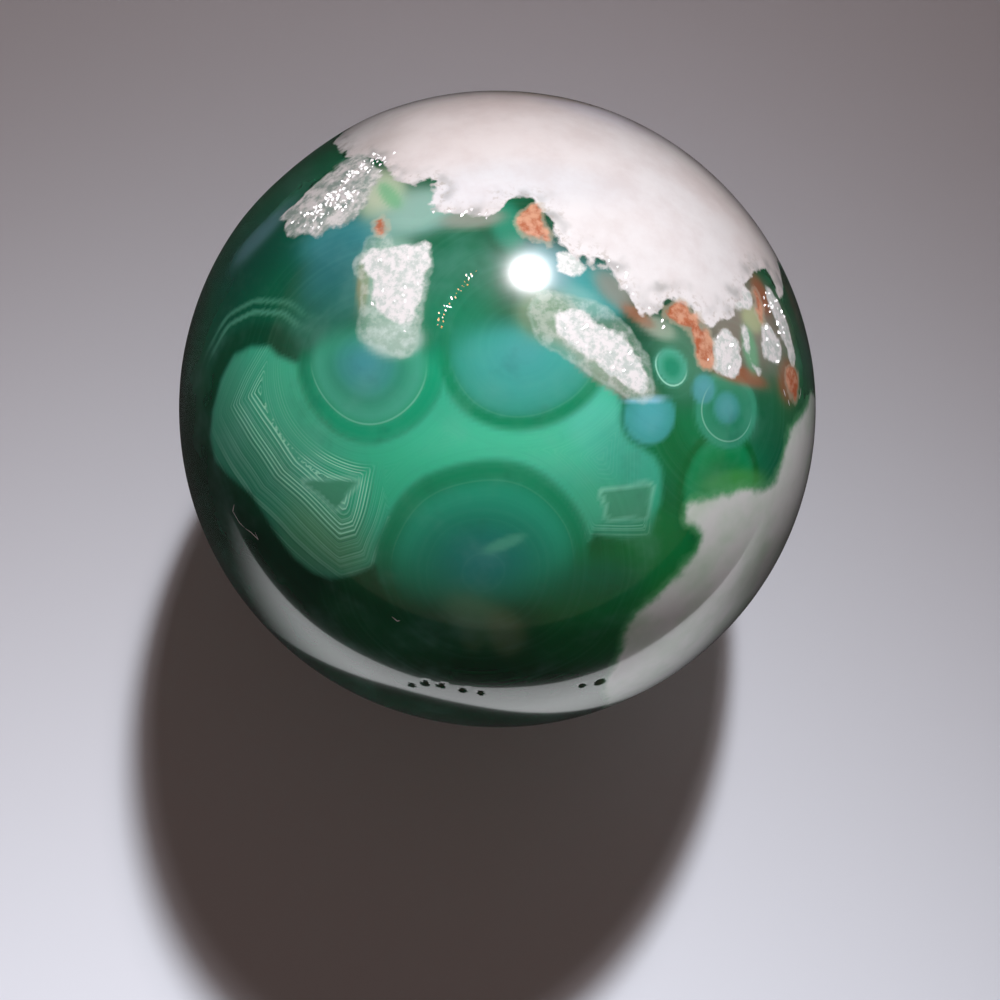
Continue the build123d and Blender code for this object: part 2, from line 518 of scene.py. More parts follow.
def sink_pits(mesh, pits):
    """Presses small round pits, each (direction, mouth radius, depth), into a finer patch of the ball."""
    shape = bmesh.new()
    shape.from_mesh(mesh)
    for direction, mouth, depth in pits:
        for _ in range(2):
            near = [
                edge
                for edge in shape.edges
                if all((v.co - direction * v.co.length).length < mouth * 1.9 for v in edge.verts)
            ]
            bmesh.ops.subdivide_edges(shape, edges=near, cuts=1, use_grid_fill=True)
        for vertex in shape.verts:
            away = (vertex.co - direction * vertex.co.length).length / mouth
            if away < 1:
                vertex.co -= vertex.co.normalized() * depth * (1 - away * away) ** 0.6
    shape.to_mesh(mesh)
    shape.free()


def paint_stone(mesh, colours):
    """Stores the pattern on every point of the ball as colours and depths."""
    count = len(mesh.vertices)
    flat = np.empty(count * 3)
    mesh.vertices.foreach_get("co", flat)
    points = flat.reshape(-1, 3) / MM
    outward = points / np.linalg.norm(points, axis=1)[:, None]
    slant = np.arccos(np.clip(outward[:, 2], -1, 1))
    flatways = np.maximum(np.hypot(outward[:, 0], outward[:, 1]), 1e-6)
    place = outward[:, :2] / flatways[:, None] * (slant * 30)[:, None]
    wander = np.stack([drift(points, 9, 5), drift(points, 9, 6)], 1)
    place = place + 0.3 * wander
    turned = np.arccos(np.clip(outward @ VIEWED_SIDE, -1, 1))
    unseen = ramp(turned, 1.38, 1.62)

    # body colour
    body = np.tile(np.array(colours.body), (count, 1))
    body = lay(body, "#0c7a56", ramp(drift(points, 26, 1), -0.2, 0.9) * 0.7)
    body = lay(body, "#05402a", ramp(drift(points, 20, 2), 0.1, 1.0) * 0.6)
    for tint, centre, halves, turn, strength, crispness in BODY_FIELDS:
        body = lay(body, tint, field_weight(place, centre, halves, turn, strength, crispness))

    # round growths, then the channel between them
    spans = [np.hypot(*(place - np.array(centre)).T) for centre, *_ in EYES]
    for span, (centre, rim, pale, ring, tints, halo) in zip(spans, EYES):
        cover = ramp(span, ring + 0.4, ring - 0.1)
        upper = ramp(place[:, 1], centre[1] - 5, centre[1] + 4) if centre[1] < -15 else 1.0
        cover = cover * upper
        if centre[1] > -2:
            cover = cover * ramp(place[:, 1], 2.6, -0.6)
        body = lay(body, halo, cover)
        inner = ramp(span, rim + 0.25, rim - 0.1) * upper
        if centre[1] > -2:
            inner = inner * ramp(place[:, 1], 4.6, -0.4)
        for number, tint in enumerate(tints[::-1]):
            edge = rim * (1 - number / len(tints))
            body = lay(body, tint, inner * ramp(span, edge + rim * 0.16, edge - rim * 0.16))
    left, middle, front = spans[0], spans[1], spans[2]
    channel = depth_inside(place, CHANNEL, 2)
    channel = np.minimum(channel, left - 6.6)
    channel = np.minimum(channel, middle - 7.1)
    channel = np.minimum(channel, front - 9.9)
    channel = np.minimum(channel, np.hypot(place[:, 0] - 13.5, place[:, 1] + 4.3) - 2.6)
    westward = ramp(place[:, 0], -15, -21)
    body = lay(body, "#0a5236", ramp(channel, -2.9, -1.3) * ramp(channel, 0.4, -0.2) * westward * 0.95)
    outer_lines = np.maximum(ramp(np.abs(channel + 3.1), 0.34, 0.1), ramp(np.abs(channel + 4.2), 0.34, 0.1))
    body = lay(body, "#5fb294", outer_lines * field_weight(place, (-25.0, 5.5), (6.0, 3.0), 0, 0.8, 5))
    flow = np.tile(np.array(linear("#3fc49e")[:3]), (count, 1))
    for tint, centre, halves, turn, strength, crispness in CHANNEL_FIELDS:
        flow = lay(flow, tint, field_weight(place, centre, halves, turn, strength, crispness))
    core = deepest(
        place,
        (
            (
                (-18.2, -10.5), (-15.2, -10.1), (-12.5, -10.0), (-13.8, -11.3), (-15.1, -12.7),
                (-16.6, -11.6),
            ),
            (
                (9.4, -11.3), (11.6, -10.9), (13.8, -10.6), (13.9, -12.2), (14.0, -13.7), (12.0, -13.7),
                (10.1, -13.8), (9.8, -12.5),
            ),
        ),
    )
    flow = lay(flow, "#4fa783", ramp(core, -0.15, 0.25) * 0.85)
    flow = lay(flow, "#a2ecd2", ramp(np.abs(core + 0.1), 0.34, 0.05) * 0.5)
    open_channel = ramp(channel, -0.15, 0.75)[:, None]
    body = body * (1 - open_channel) + flow * open_channel

    # growth lines: straight walls in the left nest, round ones elsewhere
    nest = np.min([wall_growth(place, *wall) for wall in WALLS], axis=0)
    east = ramp(place[:, 0], -11.5, -9.5)
    rounds = np.minimum((left - 6.6) / 4.6, np.minimum((middle - 7.1) / 4.2, (front - 9.9) / 4.4))
    right_nest = np.minimum((15.3 - place[:, 0]) / 5.6, (place[:, 1] + 16.4) / 7.6)
    right_nest = np.where(place[:, 0] > 4, right_nest, 9.0)
    nest = np.where(place[:, 0] < -10.0, nest, 9.0)
    growth = np.minimum(np.minimum(nest, rounds), right_nest)
    line_fields = (
        ((-21.5, -8.5), (7.5, 9.5), -35, 1.0), ((-15.5, -14), (5.5, 5.0), 0, 1.0),
        ((12.0, -15.1), (3.2, 1.2), 0, 1.1),
    )
    lines = sum(
        field_weight(place, centre, halves, turn, strength, 7)
        for (centre, halves, turn, strength) in line_fields
    )
    round_side = ramp(nest - rounds, -0.02, 0.05) * ramp(place[:, 0], 3, 1)
    bright_arcs = field_weight(place, (-15.0, -9.2), (3.2, 1.1), -5, 1.4, 6)
    ridge = ramp(np.abs(nest - rounds), 0.015, 0.07)
    faint = 0.16 - 0.11 * ramp(place[:, 0], 2, 5)
    lines = (
        np.clip(
            (faint + 1.3 * lines * ridge) * (1 - 0.85 * round_side) + bright_arcs * round_side, 0, 1.3,
        )
        * ramp(channel, 0.0, 0.5)
        * ramp(core, 0.15, -0.1)
    )

    # the side away from the camera carries more round growths with the same fine arcs
    edges = [30 * np.arccos(np.clip(outward @ np.array(towards(*aim)), -1, 1)) - radius + 0.5 * drift(points, 8, 31) for aim, radius in UNDER_EYES]
    edge = np.min(edges, axis=0)
    between = ramp(edge, 1.2, 2.4) * ramp(drift(points, 22, 17), -0.5, 0.7) * unseen
    body = lay(body, "#3aa985", between * 0.75)
    body = lay(body, "#0a5237", ramp(np.abs(edge - 0.7), 0.9, 0.3) * unseen * 0.8)
    body = lay(body, "#17806a", ramp(edge, 0.2, -0.4) * unseen * 0.85)
    body = lay(body, "#2f93a0", ramp(edge, -1.6, -5.5) * unseen * 0.8)
    body = lay(body, "#7fd2b4", ramp(np.abs(edge), 0.4, 0.12) * unseen * 0.45)
    growth = np.where(unseen > 0.5, edge / 4.6, growth)
    arcs = ramp(edge, 0.9, 1.8) * ramp(edge, 5.5, 2.5) * ramp(drift(points, 14, 19), -0.4, 0.5)
    lines = lines * (1 - ramp(unseen, 0.3, 0.5)) + 0.55 * arcs * ramp(unseen, 0.5, 0.8)

    # stains and clear quartz, then small beads, with a flat pale top on one of them
    for tint, centre, halves, turn, strength, crispness in OVER_FIELDS:
        body = lay(body, tint, field_weight(place, centre, halves, turn, strength, crispness))
    rim_depth, rim_pale = np.full(count, 9.0), np.zeros(count)
    rims = [(centre, rim, pale) for centre, rim, pale, *_ in (*EYES[:3], EYES[4], BEADS[0])]
    for (centre, radius, pale, middle_tint, edge_tint) in BEADS:
        span = np.hypot(*(place - np.array(centre)).T)
        cover = ramp(span, radius + 0.3, radius - 0.25)
        if radius > 2:
            cover = cover * ramp(place[:, 1], -2.7, -3.1)
        body = lay(body, edge_tint, cover)
        body = lay(body, middle_tint, cover * ramp(span, radius, radius * 0.3))
    for centre, radius, pale in rims:
        distance = np.hypot(*(place - np.array(centre)).T) - radius
        nearer = np.abs(distance) < np.abs(rim_depth)
        rim_depth = np.where(nearer, distance, rim_depth)
        rim_pale = np.where(nearer, pale, rim_pale)
    lower_rims = ramp(place[:, 1], 0.8, -2.8) * ramp(place[:, 1], -19, -15)
    rim_pale = (
        rim_pale
        * np.where(place[:, 0] > 11, ramp(place[:, 1] + 0.5 * place[:, 0], 9.0, 7.0), lower_rims)
    )
    body = lay(body, "#9fdcf0", field_weight(place, (13.0, -2.9), (2.0, 0.28), 6, 0.85, 8))

    # inclusions and streaks
    body = lay(body, "#5f9a74", field_weight(place, (-1.8, -23.6), (3.4, 2.0), -35, 0.85, 5))
    body = lay(body, "#6f8a62", field_weight(place, (0.6, -25.4), (1.6, 2.6), 20, 0.6, 6))
    body = lay(body, "#4c7a50", field_weight(place, (-2.6, -25.8), (1.2, 1.6), 0, 0.6, 6))
    body = lay(body, "#58b89a", field_weight(place, (0.6, -16.0), (1.9, 0.55), 18, 0.75, 8))
    body = lay(body, "#5cba62", field_weight(place, (24.0, -10.7), (4.0, 1.2), 4, 0.7, 6))
    body = lay(body, "#4ca556", field_weight(place, (17.6, -23.0), (4.6, 2.6), 50, 0.6, 4))

    # minerals
    cap = depth_inside(place, CAP)
    under_cap = 26 - 30 * np.arccos(np.clip(outward @ np.array(towards(68, 2)), -1, 1))
    under_cap = under_cap + 4.5 * drift(points, 15, 11) + 1.6 * drift(points, 5, 12)
    cap = cap * (1 - unseen) + under_cap * unseen
    lobe = depth_inside(place, LOBE)
    under_lobe = 20 - 30 * np.arccos(np.clip(outward @ np.array(towards(-32, -8)), -1, 1))
    under_lobe = under_lobe + 4.5 * drift(points, 13, 13) + 1.8 * drift(points, 6, 14)
    lobe = lobe * (1 - unseen) + under_lobe * unseen
    white = np.tile(np.array(colours.cap), (count, 1))
    for tint, centre, halves, turn, strength, crispness in WHITE_FIELDS:
        white = lay(white, tint, field_weight(place, centre, halves, turn, strength, crispness))
    on_streak = (
        wall_growth(place, (-5.2, 2.4), (-4.3, 4.7), 1.0),
        wall_growth(place, (-4.3, 4.7), (-1.6, 8.1), 1.0),
    )
    gold = np.where(place[:, 1] < 4.7, np.abs(on_streak[0]), np.abs(on_streak[1]))
    silver_fields = (
        ((-15.9, 17.4), (2.3, 1.6), 20, 1.0), ((-12.9, 21.4), (2.6, 1.1), 25, 0.9),
        ((-18.6, 15.6), (2.0, 1.4), 0, 0.3), ((-9.2, 7.0), (2.6, 3.4), 0, 0.06),
        ((8.6, 1.6), (4.2, 2.0), -33, 0.12), ((22.0, 1.8), (1.8, 2.2), 0, 0.1),
        ((30.2, 6.0), (3.0, 4.0), 0, 0.1), ((-3.0, 13.4), (3.0, 0.8), 0, 0.16),
        ((12.0, 7.4), (6.0, 0.7), -45, 0.14),
    )
    scalars = {
        "silver_glints": sum(field_weight(place, *field, 9) for field in silver_fields),
        "gold_glints": ramp(gold, 0.3, 0.12) * ramp(place[:, 1], 2.4, 3.0) * ramp(place[:, 1], 8.2, 7.6)
        * field_weight(place, (-3.5, 5.2), (2.6, 4.0), 0, 1.0, 9),
        "growth": growth,
        "lines": lines,
        "rim": rim_depth,
        "rim_pale": rim_pale,
        "cap": cap,
        "lobe": lobe,
        "hearts": deepest(place, HEARTS),
        "glass": deepest(place, GLASS),
        "druse": deepest(place, DRUSE),
        "rust": deepest(place, RUST),
    }
    for name, values in scalars.items():
        mesh.attributes.new(name, "FLOAT", "POINT").data.foreach_set("value", values)
    for name, tints in (("body", body), ("white", white)):
        rows = np.concatenate([np.clip(tints, 0, 1), np.ones((count, 1))], 1)
        mesh.attributes.new(name, "FLOAT_COLOR", "POINT").data.foreach_set("color", rows.ravel())


def stone_material(colours):
    """Agate: fibrous quartz tinted by chrome and nickel salts, lapped and tin-oxide polished to a wet gloss."""
    stone = bpy.data.materials.new("polished_agate")
    stone.use_nodes = True
    tree = stone.node_tree
    tree.nodes.clear()
    place = add(tree, "ShaderNodeTexCoord").node.outputs["Object"]
    # Fine growth lines: each about a quarter to half a millimetre of fibre
    wobble = add(tree, "ShaderNodeMath", {
        0: add(tree, "ShaderNodeTexNoise", {"Vector": place, "Scale": 1 / (5.0 * MM), "Detail": 1.0}),
        1: 0.05, 2: add(tree, "ShaderNodeAttribute", attribute_name="growth").node.outputs["Fac"],
    }, operation="MULTIPLY_ADD")
    count_lines = add(tree, "ShaderNodeMath", {0: wobble, 1: 18.0}, operation="MULTIPLY")
    broad = add(tree, "ShaderNodeTexNoise", {
        "W": count_lines, "Scale": 0.4, "Detail": 2.0,
    }, noise_dimensions="1D")
    fine = add(tree, "ShaderNodeTexNoise", {
        "W": count_lines, "Scale": 1.5, "Detail": 3.0,
    }, noise_dimensions="1D")
    comb = add(tree, "ShaderNodeMath", {
        0: add(tree, "ShaderNodeMath", {0: count_lines, 1: 2 * math.pi}, operation="MULTIPLY"),
    }, operation="SINE")
    late = add(tree, "ShaderNodeMapRange", {
        "Value": wobble, "From Min": 0.35, "From Max": 0.6,
    }, interpolation_type="SMOOTHSTEP")
    pale_line = add(tree, "ShaderNodeMath", {
        0: add(tree, "ShaderNodeMapRange", {
            "Value": comb, "From Min": 0.1, "From Max": 0.95,
        }, interpolation_type="SMOOTHSTEP"),
        1: add(tree, "ShaderNodeMath", {
            0: late,
            1: add(tree, "ShaderNodeMapRange", {
                "Value": broad, "From Min": 0.36, "From Max": 0.52, "To Min": 0.25, "To Max": 1.0,
            }, interpolation_type="SMOOTHSTEP"),
        }, operation="MULTIPLY"),
    }, operation="MULTIPLY")
    tone = add(tree, "ShaderNodeMath", {
        0: add(tree, "ShaderNodeMath", {
            0: add(tree, "ShaderNodeMath", {0: fine, 1: 0.5}, operation="SUBTRACT"), 1: 1.6,
        }, operation="MULTIPLY"),
        1: add(tree, "ShaderNodeMath", {
            0: add(tree, "ShaderNodeMath", {0: broad, 1: 0.5}, operation="SUBTRACT"), 1: 0.8,
        }, operation="MULTIPLY"),
    }, operation="ADD")
    lines = add(tree, "ShaderNodeAttribute", attribute_name="lines").node.outputs["Fac"]
    light_share = add(tree, "ShaderNodeMath", {
        0: add(tree, "ShaderNodeMath", {
            0: add(tree, "ShaderNodeMath", {0: tone, 1: 0.0}, operation="MAXIMUM"),
            1: add(tree, "ShaderNodeMath", {0: pale_line, 1: 0.8}, operation="MULTIPLY"),
        }, operation="ADD"),
        1: lines,
    }, operation="MULTIPLY")
    dark_share = add(tree, "ShaderNodeMath", {
        0: add(tree, "ShaderNodeMath", {
            0: add(tree, "ShaderNodeMath", {0: tone, 1: -1.0}, operation="MULTIPLY"), 1: 0.0,
        }, operation="MAXIMUM"),
        1: lines,
    }, operation="MULTIPLY")
    colour = add(tree, "ShaderNodeAttribute", attribute_name="body").node.outputs["Color"]
    colour = add(tree, "ShaderNodeMix", {
        0: add(tree, "ShaderNodeMath", {0: light_share, 1: 1.0}, operation="MINIMUM"), 6: colour,
        7: linear("#a9f5d8"),
    }, data_type="RGBA")
    colour = add(tree, "ShaderNodeMix", {
        0: add(tree, "ShaderNodeMath", {0: dark_share, 1: 1.0}, operation="MINIMUM"), 6: colour,
        7: linear("#1c8462"),
    }, data_type="RGBA")

    # Rings follow the round growths, much fainter than the nests
    rim = add(tree, "ShaderNodeAttribute", attribute_name="rim").node.outputs["Fac"]
    rings = add(tree, "ShaderNodeTexNoise", {"W": rim, "Scale": 1.4, "Detail": 3.0}, noise_dimensions="1D")
    ring_tone = add(tree, "ShaderNodeMath", {
        0: add(tree, "ShaderNodeMath", {0: rings, 1: 0.5}, operation="SUBTRACT"), 1: 0.16,
    }, operation="MULTIPLY")
    colour = add(tree, "ShaderNodeMix", {
        0: add(tree, "ShaderNodeMath", {0: ring_tone, 1: 0.0}, operation="MAXIMUM"), 6: colour,
        7: linear("#7fdcc0"),
    }, data_type="RGBA")
    colour = add(tree, "ShaderNodeMix", {
        0: add(tree, "ShaderNodeMath", {
            0: add(tree, "ShaderNodeMath", {0: ring_tone, 1: -1.0}, operation="MULTIPLY"), 1: 0.0,
        }, operation="MAXIMUM"),
        6: colour, 7: linear("#00402a"),
    }, data_type="RGBA")
    rim_line = add(tree, "ShaderNodeMath", {
        0: add(tree, "ShaderNodeMapRange", {
            "Value": add(tree, "ShaderNodeMath", {0: rim}, operation="ABSOLUTE"), "From Min": 0.13,
            "From Max": 0.02,
        }, interpolation_type="SMOOTHSTEP"),
        1: add(tree, "ShaderNodeAttribute", attribute_name="rim_pale").node.outputs["Fac"],
    }, operation="MULTIPLY")
    colour = add(tree, "ShaderNodeMix", {0: rim_line, 6: colour, 7: linear("#aef0da")}, data_type="RGBA")

    # Milky clouds inside the chalcedony
    milk = add(tree, "ShaderNodeMapRange", {
        "Value": add(tree, "ShaderNodeTexNoise", {
            "Vector": place, "Scale": 1 / (5.5 * MM), "Detail": 3.0, "Roughness": 0.55,
        }),
        "From Min": 0.45, "From Max": 0.8, "To Min": 0.0, "To Max": 0.16,
    }, interpolation_type="SMOOTHSTEP")
    colour = add(tree, "ShaderNodeMix", {0: milk, 6: colour, 7: linear("#8fd0c4")}, data_type="RGBA")
    murk = add(tree, "ShaderNodeMapRange", {
        "Value": add(tree, "ShaderNodeTexNoise", {
            "Vector": place, "Scale": 1 / (4.6 * MM), "Detail": 3.0, "Roughness": 0.6,
        }),
        "From Min": 0.45, "From Max": 0.25, "To Min": 0.0, "To Max": 0.16,
    }, interpolation_type="SMOOTHSTEP")
    colour = add(tree, "ShaderNodeMix", {0: murk, 6: colour, 7: linear("#023a22")}, data_type="RGBA")

    # Ragged edges: a coarse and a fine wander added to each stored depth, in millimetres
    coarse = add(tree, "ShaderNodeMath", {
        0: add(tree, "ShaderNodeTexNoise", {
            "Vector": place, "Scale": 1 / (2.2 * MM), "Detail": 2.0, "Roughness": 0.5,
        }),
        1: 0.5,
    }, operation="SUBTRACT")
    crumbs = add(tree, "ShaderNodeMath", {
        0: add(tree, "ShaderNodeTexNoise", {
            "Vector": place, "Scale": 1 / (0.5 * MM), "Detail": 3.0, "Roughness": 0.6,
        }),
        1: 0.5,
    }, operation="SUBTRACT")
    ragged = add(tree, "ShaderNodeMath", {
        0: add(tree, "ShaderNodeMath", {0: coarse, 1: 3.0}, operation="MULTIPLY"),
        1: add(tree, "ShaderNodeMath", {0: crumbs, 1: 0.7}, operation="MULTIPLY"),
    }, operation="ADD")
    slightly = add(tree, "ShaderNodeMath", {0: ragged, 1: 0.4}, operation="MULTIPLY")
    shaken = add(tree, "ShaderNodeVectorMath", {
        0: add(tree, "ShaderNodeTexNoise", {"Vector": place, "Scale": 1 / (1.2 * MM)}).node.outputs["Color"],
        "Scale": 0.6 * MM,
    }, operation="SCALE")
    jostled = add(tree, "ShaderNodeVectorMath", {0: place, 1: shaken})
    cells = add(tree, "ShaderNodeTexVoronoi", {
        "Vector": jostled, "Scale": 1 / (1.3 * MM),
    }, feature="SMOOTH_F1")
    seams = add(tree, "ShaderNodeMapRange", {
        "Value": cells, "From Min": 0.3, "From Max": 0.75,
    }, interpolation_type="SMOOTHSTEP")

    # Clear quartz round the flowers
    glass = add(tree, "ShaderNodeMath", {
        0: add(tree, "ShaderNodeAttribute", attribute_name="glass").node.outputs["Fac"], 1: slightly,
    }, operation="ADD")
    glassy = add(tree, "ShaderNodeMix", {
        0: add(tree, "ShaderNodeMapRange", {
            "Value": add(tree, "ShaderNodeTexNoise", {
                "Vector": place, "Scale": 1 / (1.0 * MM), "Detail": 4.0, "Roughness": 0.6,
            }),
            "From Min": 0.38, "From Max": 0.66,
        }, interpolation_type="SMOOTHSTEP"),
        6: linear("#8fb49c"), 7: linear("#eaf3ee"),
    }, data_type="RGBA")
    colour = add(tree, "ShaderNodeMix", {
        0: add(tree, "ShaderNodeMapRange", {
            "Value": glass, "From Min": -0.1, "From Max": 0.5, "To Min": 0.0, "To Max": 0.42,
        }, interpolation_type="SMOOTHSTEP"),
        6: colour, 7: glassy,
    }, data_type="RGBA")
    glass_edge = add(tree, "ShaderNodeMapRange", {
        "Value": add(tree, "ShaderNodeMath", {
            0: add(tree, "ShaderNodeMath", {0: glass, 1: 0.25}, operation="SUBTRACT"),
        }, operation="ABSOLUTE"),
        "From Min": 0.3, "From Max": 0.04, "To Min": 0.0, "To Max": 0.14,
    }, interpolation_type="SMOOTHSTEP")
    colour = add(tree, "ShaderNodeMix", {
        0: glass_edge, 6: colour, 7: linear("#d4ece4"),
    }, data_type="RGBA")

    # White crystal hearts, crowded with needles
    speckle = add(tree, "ShaderNodeMapRange", {
        "Value": add(tree, "ShaderNodeTexNoise", {
            "Vector": place, "Scale": 1 / (0.6 * MM), "Detail": 5.0, "Roughness": 0.62,
        }),
        "From Min": 0.36, "From Max": 0.6,
    }, interpolation_type="SMOOTHSTEP")
    heart_white = add(tree, "ShaderNodeMix", {
        0: speckle, 6: linear("#d6e2dd"), 7: linear("#fcfdfc"),
    }, data_type="RGBA")
    hearts = add(tree, "ShaderNodeMath", {
        0: add(tree, "ShaderNodeAttribute", attribute_name="hearts").node.outputs["Fac"],
        1: add(tree, "ShaderNodeMath", {0: ragged, 1: 0.7}, operation="MULTIPLY"),
    }, operation="ADD")
    colour = add(tree, "ShaderNodeMix", {
        0: add(tree, "ShaderNodeMapRange", {
            "Value": hearts, "From Min": -0.15, "From Max": 0.35,
        }, interpolation_type="SMOOTHSTEP"),
        6: colour, 7: heart_white,
    }, data_type="RGBA")

    # The lobe of white chalcedony clouds softly into the green
    lobe_white = add(tree, "ShaderNodeMix", {
        0: add(tree, "ShaderNodeMapRange", {
            "Value": add(tree, "ShaderNodeTexNoise", {
                "Vector": place, "Scale": 1 / (5.0 * MM), "Detail": 3.0, "Roughness": 0.5,
            }),
            "From Min": 0.35, "From Max": 0.7,
        }, interpolation_type="SMOOTHSTEP"),
        6: (*colours.lobe, 1.0), 7: linear("#d4ead8"),
    }, data_type="RGBA")
    lobe = add(tree, "ShaderNodeMath", {
        0: add(tree, "ShaderNodeAttribute", attribute_name="lobe").node.outputs["Fac"],
        1: add(tree, "ShaderNodeMath", {0: ragged, 1: 0.6}, operation="MULTIPLY"),
    }, operation="ADD")
    colour = add(tree, "ShaderNodeMix", {
        0: add(tree, "ShaderNodeMapRange", {
            "Value": lobe, "From Min": -0.9, "From Max": 0.2, "To Min": 0.0, "To Max": 0.45,
        }, interpolation_type="SMOOTHSTEP"),
        6: colour, 7: linear("#7fcf96"),
    }, data_type="RGBA")
    colour = add(tree, "ShaderNodeMix", {
        0: add(tree, "ShaderNodeMapRange", {
            "Value": lobe, "From Min": -0.2, "From Max": 0.9,
        }, interpolation_type="SMOOTHSTEP"),
        6: colour, 7: lobe_white,
    }, data_type="RGBA")

    # The cap of macrocrystalline quartz: dense and milky inside, granular where it ends
    cap = add(tree, "ShaderNodeMath", {
        0: add(tree, "ShaderNodeAttribute", attribute_name="cap").node.outputs["Fac"], 1: ragged,
    }, operation="ADD")
    cloudy = add(tree, "ShaderNodeMix", {
        0: add(tree, "ShaderNodeMapRange", {
            "Value": add(tree, "ShaderNodeTexNoise", {
                "Vector": place, "Scale": 1 / (4.0 * MM), "Detail": 4.0, "Roughness": 0.6,
            }),
            "From Min": 0.35, "From Max": 0.72, "To Min": 0.0, "To Max": 0.35,
        }, interpolation_type="SMOOTHSTEP"),
        6: add(tree, "ShaderNodeAttribute", attribute_name="white").node.outputs["Color"],
        7: linear("#d9cfcc"),
    }, data_type="RGBA")
    edge_zone = add(tree, "ShaderNodeMapRange", {
        "Value": cap, "From Min": 2.6, "From Max": 0.4,
    }, interpolation_type="SMOOTHSTEP")
    grained = add(tree, "ShaderNodeMix", {
        0: add(tree, "ShaderNodeMath", {
            0: add(tree, "ShaderNodeMath", {0: seams, 1: edge_zone}, operation="MULTIPLY"), 1: 0.75,
        }, operation="MULTIPLY"),
        6: cloudy, 7: linear("#a9aeac"),
    }, data_type="RGBA")
    grained = add(tree, "ShaderNodeMix", {
        0: add(tree, "ShaderNodeMath", {
            0: edge_zone,
            1: add(tree, "ShaderNodeMapRange", {
                "Value": crumbs, "From Min": 0.02, "From Max": 0.2, "To Min": 0.0, "To Max": 0.5,
            }, interpolation_type="SMOOTHSTEP"),
        }, operation="MULTIPLY"),
        6: grained, 7: linear("#b9b4a8"),
    }, data_type="RGBA")
    colour = add(tree, "ShaderNodeMix", {
        0: add(tree, "ShaderNodeMapRange", {
            "Value": cap, "From Min": -0.1, "From Max": 0.3,
        }, interpolation_type="SMOOTHSTEP"),
        6: colour, 7: grained,
    }, data_type="RGBA")

    # The druse: clear and white crystals mixed
    druse = add(tree, "ShaderNodeMath", {
        0: add(tree, "ShaderNodeAttribute", attribute_name="druse").node.outputs["Fac"], 1: ragged,
    }, operation="ADD")
    druse_colour = add(tree, "ShaderNodeMix", {
        0: add(tree, "ShaderNodeMapRange", {
            "Value": add(tree, "ShaderNodeTexNoise", {
                "Vector": place, "Scale": 1 / (1.3 * MM), "Detail": 5.0, "Roughness": 0.65,
            }),
            "From Min": 0.36, "From Max": 0.62,
        }, interpolation_type="SMOOTHSTEP"),
        6: linear("#9fb0a8"), 7: linear("#f2f0ee"),
    }, data_type="RGBA")
    colour = add(tree, "ShaderNodeMix", {
        0: add(tree, "ShaderNodeMapRange", {
            "Value": druse, "From Min": -0.2, "From Max": 0.4, "To Min": 0.0, "To Max": 0.95,
        }, interpolation_type="SMOOTHSTEP"),
        6: colour, 7: druse_colour,
    }, data_type="RGBA")

    # Iron stains, brick to orange
    rust = add(tree, "ShaderNodeMath", {
        0: add(tree, "ShaderNodeAttribute", attribute_name="rust").node.outputs["Fac"],
        1: add(tree, "ShaderNodeMath", {0: ragged, 1: 0.8}, operation="MULTIPLY"),
    }, operation="ADD")
    rusty = add(tree, "ShaderNodeMix", {
        0: add(tree, "ShaderNodeMapRange", {
            "Value": add(tree, "ShaderNodeTexNoise", {
                "Vector": place, "Scale": 1 / (1.1 * MM), "Detail": 4.0, "Roughness": 0.6,
            }),
            "From Min": 0.36, "From Max": 0.64,
        }, interpolation_type="SMOOTHSTEP"),
        6: linear("#c66f49"), 7: linear("#e9b495"),
    }, data_type="RGBA")
    colour = add(tree, "ShaderNodeMix", {
        0: add(tree, "ShaderNodeMapRange", {
            "Value": add(tree, "ShaderNodeMath", {0: rust}, operation="ABSOLUTE"), "From Min": 0.5,
            "From Max": 0.1, "To Min": 0.0, "To Max": 0.4,
        }, interpolation_type="SMOOTHSTEP"),
        6: colour, 7: linear("#d9cdb4"),
    }, data_type="RGBA")
    colour = add(tree, "ShaderNodeMix", {
        0: add(tree, "ShaderNodeMapRange", {
            "Value": rust, "From Min": -0.15, "From Max": 0.35, "To Min": 0.0, "To Max": 0.92,
        }, interpolation_type="SMOOTHSTEP"),
        6: colour, 7: rusty,
    }, data_type="RGBA")

    shader = add(
        tree,
        "ShaderNodeBsdfPrincipled",
        {
            "Base Color": colour,
            "Roughness": 0.17,
            "IOR": 1.54,
            "Coat Weight": 0.9,
            "Coat Roughness": 0.03,
            "Coat IOR": 1.8,
            "Subsurface Weight": 0.8,
            "Subsurface Scale": 0.002,
            "Subsurface Radius": (1.0, 1.0, 1.0),
        },
    )
    add(tree, "ShaderNodeOutputMaterial", {"Surface": shader})
    return stone


